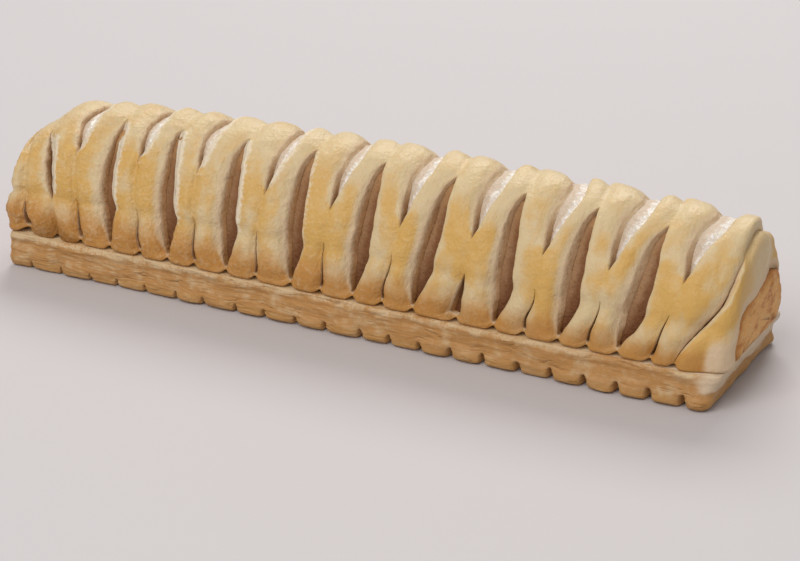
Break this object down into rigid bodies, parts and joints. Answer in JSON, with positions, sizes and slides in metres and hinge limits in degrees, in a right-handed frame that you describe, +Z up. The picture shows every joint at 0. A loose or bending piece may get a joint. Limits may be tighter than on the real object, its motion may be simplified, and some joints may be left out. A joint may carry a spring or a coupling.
{
  "type": "sausage roll",
  "caption": "Long lattice sausage roll: a slit puff pastry sheet draped over sausage meat on a layered pastry base, golden on the strips.",
  "frame": {"origin": "on the ground under the middle of the roll", "axes": "+X along the roll towards the end whose meat shows in the three-quarter view, +Y away from that view across the roll, +Z up"},
  "size_m": [0.2004, 0.0466, 0.0442],
  "materials": {
    "layered_pastry": "flaky browned side of puff pastry, layers showing as fine wavy lines, dry and slightly sheeny",
    "baked_sausage_meat": "rough baked sausage meat, pale pinkish under the slits and toasted brown at the ends",
    "golden_pastry": "egg-washed puff pastry, cream to golden with browner feet and a soft sheen"
  },
  "bodies": {
    "root": {"pastry_base": "layered_pastry", "sausage_meat": "baked_sausage_meat", "pastry_lattice": "golden_pastry"}
  },
  "joints": []
}
